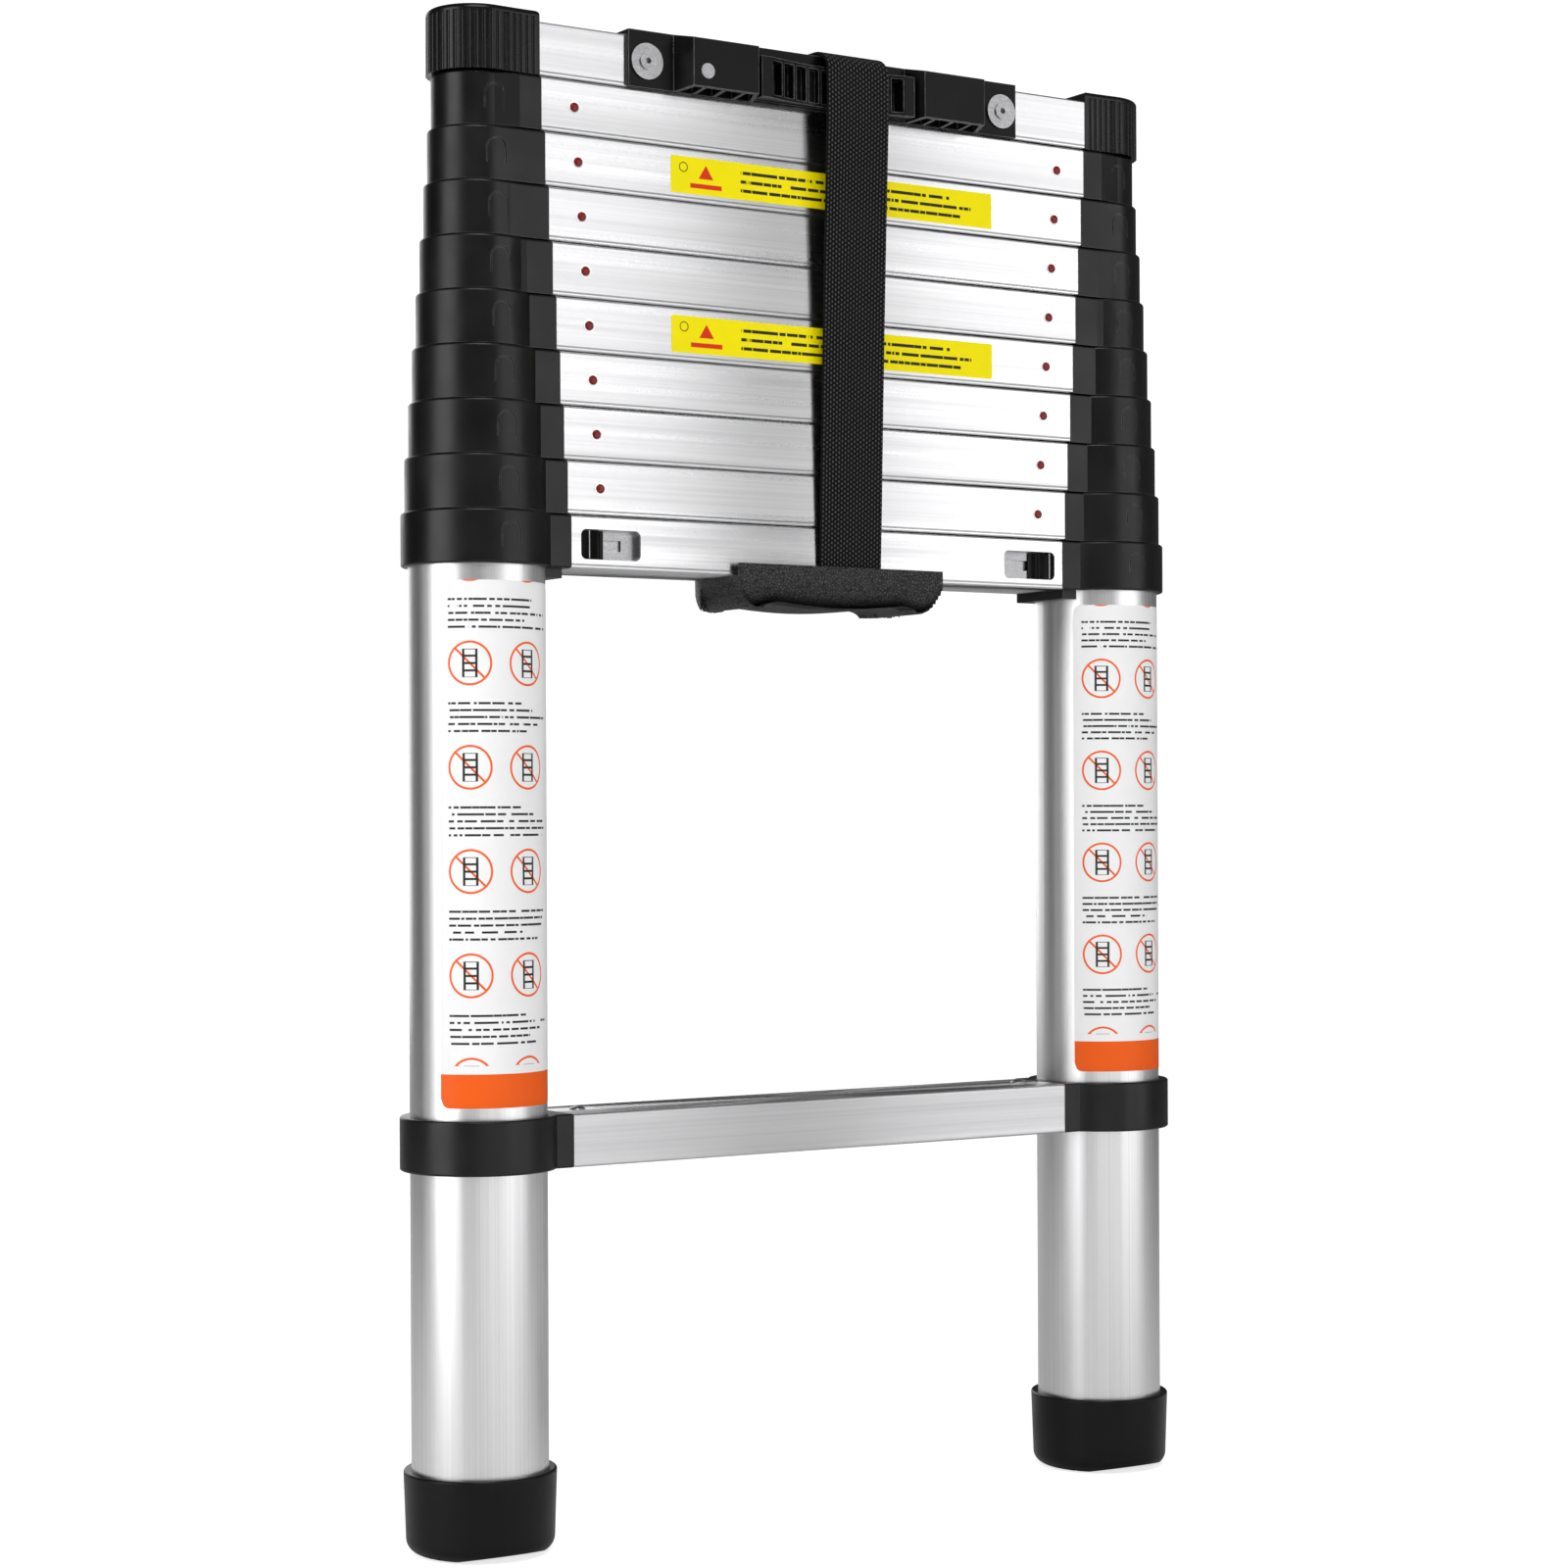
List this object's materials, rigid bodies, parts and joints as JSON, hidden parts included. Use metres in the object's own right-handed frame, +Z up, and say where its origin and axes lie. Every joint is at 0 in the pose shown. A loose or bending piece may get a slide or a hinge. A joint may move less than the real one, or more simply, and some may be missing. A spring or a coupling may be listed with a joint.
{
  "type": "telescoping ladder",
  "caption": "Closed telescoping ladder: nested aluminium tube stiles, stacked rungs with spring locks, thumb levers, top wall bracket, rubber feet, webbing strap with rubber carry handle.",
  "frame": {"origin": "on the floor, midway between the two stiles, in the plane of the stiles' axes; this is the centre of the bottom of the bounding box", "axes": "+Z up along the stiles, +X along the rungs to the right, +Y to the back, away from the levers"},
  "size_m": [0.4712, 0.0788, 0.7666],
  "materials": {
    "tube_aluminium": "satin anodised, fine lengthwise drawing lines",
    "rung_aluminium": "satin anodised, fine drawing lines along the rung",
    "bright_steel": "zinc plated",
    "black_plastic": "satin moulded nylon",
    "lever_plastic": "satin to glossy moulded plastic",
    "foot_rubber": "matt moulded rubber",
    "grip_rubber": "leather-grained moulded rubber",
    "webbing": "woven polyester webbing",
    "indicator_red": "glossy moulded plastic",
    "label_white": "printed film",
    "label_yellow": "printed film"
  },
  "bodies": {
    "base": {"foot_left": "foot_rubber", "foot_right": "foot_rubber", "base_tube_left": "tube_aluminium", "base_tube_right": "tube_aluminium", "clamp_left": "black_plastic", "clamp_right": "black_plastic", "bottom_rung": "rung_aluminium", "bottom_rung_rivets": "bright_steel", "lever_collar_left": "black_plastic", "lever_collar_right": "black_plastic", "lever_rung": "rung_aluminium", "guard_plates": "black_plastic", "lever_trays": "bright_steel", "carry_handle": "grip_rubber"},
    "lever_left": {"lever_left": "lever_plastic", "lever_pin_left": "bright_steel"},
    "lever_right": {"lever_right": "lever_plastic", "lever_pin_right": "bright_steel"},
    "section_1": {"section_1_tubes": "tube_aluminium", "section_1_collars": "black_plastic", "section_1_rung": "rung_aluminium", "section_1_locks": "bright_steel"},
    "section_2": {"section_2_tubes": "tube_aluminium", "section_2_collars": "black_plastic", "section_2_rung": "rung_aluminium", "section_2_locks": "bright_steel"},
    "section_3": {"section_3_tubes": "tube_aluminium", "section_3_collars": "black_plastic", "section_3_rung": "rung_aluminium", "section_3_locks": "bright_steel"},
    "section_4": {"section_4_tubes": "tube_aluminium", "section_4_collars": "black_plastic", "section_4_rung": "rung_aluminium", "section_4_locks": "bright_steel"},
    "section_5": {"section_5_tubes": "tube_aluminium", "section_5_collars": "black_plastic", "section_5_rung": "rung_aluminium", "section_5_locks": "bright_steel"},
    "section_6": {"section_6_tubes": "tube_aluminium", "section_6_collars": "black_plastic", "section_6_rung": "rung_aluminium", "section_6_locks": "bright_steel"},
    "section_7": {"section_7_tubes": "tube_aluminium", "section_7_collars": "black_plastic", "section_7_rung": "rung_aluminium", "section_7_locks": "bright_steel"},
    "section_8": {"section_8_tubes": "tube_aluminium", "section_8_collars": "black_plastic", "section_8_rung": "rung_aluminium", "section_8_locks": "bright_steel"},
    "top_section": {"top_tubes": "tube_aluminium", "top_bushes": "black_plastic", "cap_left": "black_plastic", "cap_right": "black_plastic", "top_rung": "rung_aluminium", "top_bracket": "black_plastic", "bracket_rivets": "bright_steel", "carry_strap": "webbing"}
  },
  "joints": [
    {"name": "section_1_slide", "type": "slide", "parent": "base", "child": "section_1", "axis": [0, 0, 1], "range_m": [0, 0.2728]},
    {"name": "section_2_slide", "type": "slide", "parent": "section_1", "child": "section_2", "axis": [0, 0, 1], "range_m": [0, 0.2728]},
    {"name": "section_3_slide", "type": "slide", "parent": "section_2", "child": "section_3", "axis": [0, 0, 1], "range_m": [0, 0.2728]},
    {"name": "section_4_slide", "type": "slide", "parent": "section_3", "child": "section_4", "axis": [0, 0, 1], "range_m": [0, 0.2728]},
    {"name": "section_5_slide", "type": "slide", "parent": "section_4", "child": "section_5", "axis": [0, 0, 1], "range_m": [0, 0.2728]},
    {"name": "section_6_slide", "type": "slide", "parent": "section_5", "child": "section_6", "axis": [0, 0, 1], "range_m": [0, 0.2728]},
    {"name": "section_7_slide", "type": "slide", "parent": "section_6", "child": "section_7", "axis": [0, 0, 1], "range_m": [0, 0.2728]},
    {"name": "section_8_slide", "type": "slide", "parent": "section_7", "child": "section_8", "axis": [0, 0, 1], "range_m": [0, 0.2728]},
    {"name": "top_section_slide", "type": "slide", "parent": "section_8", "child": "top_section", "axis": [0, 0, 1], "range_m": [0, 0.2728]},
    {"name": "lever_left_slide", "type": "slide", "parent": "base", "child": "lever_left", "axis": [1, 0, 0], "range_m": [0, 0.015], "stiffness_N_per_m": 400, "springref_m": -0.01},
    {"name": "lever_right_slide", "type": "slide", "parent": "base", "child": "lever_right", "axis": [-1, 0, 0], "range_m": [0, 0.015], "stiffness_N_per_m": 400, "springref_m": -0.01}
  ]
}
